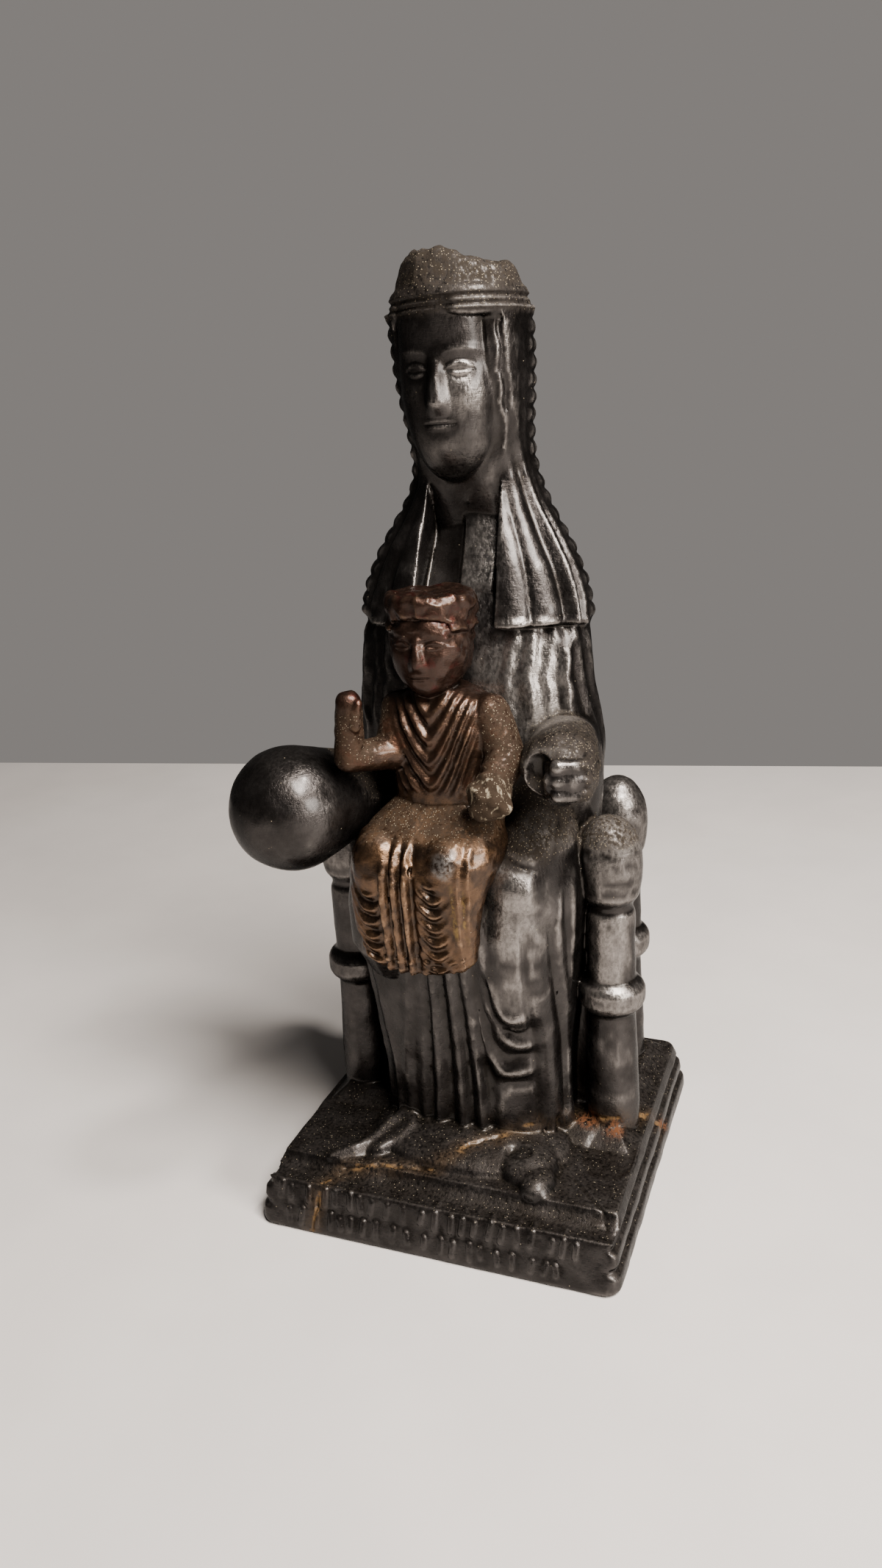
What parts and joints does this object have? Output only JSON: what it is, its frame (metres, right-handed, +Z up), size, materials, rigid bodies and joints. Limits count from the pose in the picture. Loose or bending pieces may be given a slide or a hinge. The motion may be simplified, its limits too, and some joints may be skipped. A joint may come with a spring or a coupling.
{
  "type": "virgin and child figure",
  "caption": "Small dark cast figure of an enthroned Virgin holding an orb, with a gilded seated Child on her lap, on a stepped plinth.",
  "frame": {"origin": "middle of the plinth's underside", "axes": "+Z up, the Virgin faces -Y, +X is towards her left hand"},
  "size_m": [0.0412, 0.0399, 0.0978],
  "materials": {
    "dark_metal": "glossy blackened lead and tin alloy, worn silver-grey on the raised folds, dusty in the hollows",
    "gilded_metal": "worn copper-gilt robe and red-brown painted head and chest over the same alloy"
  },
  "bodies": {
    "root": {"virgin_on_throne": "dark_metal", "child": "gilded_metal"}
  },
  "joints": []
}
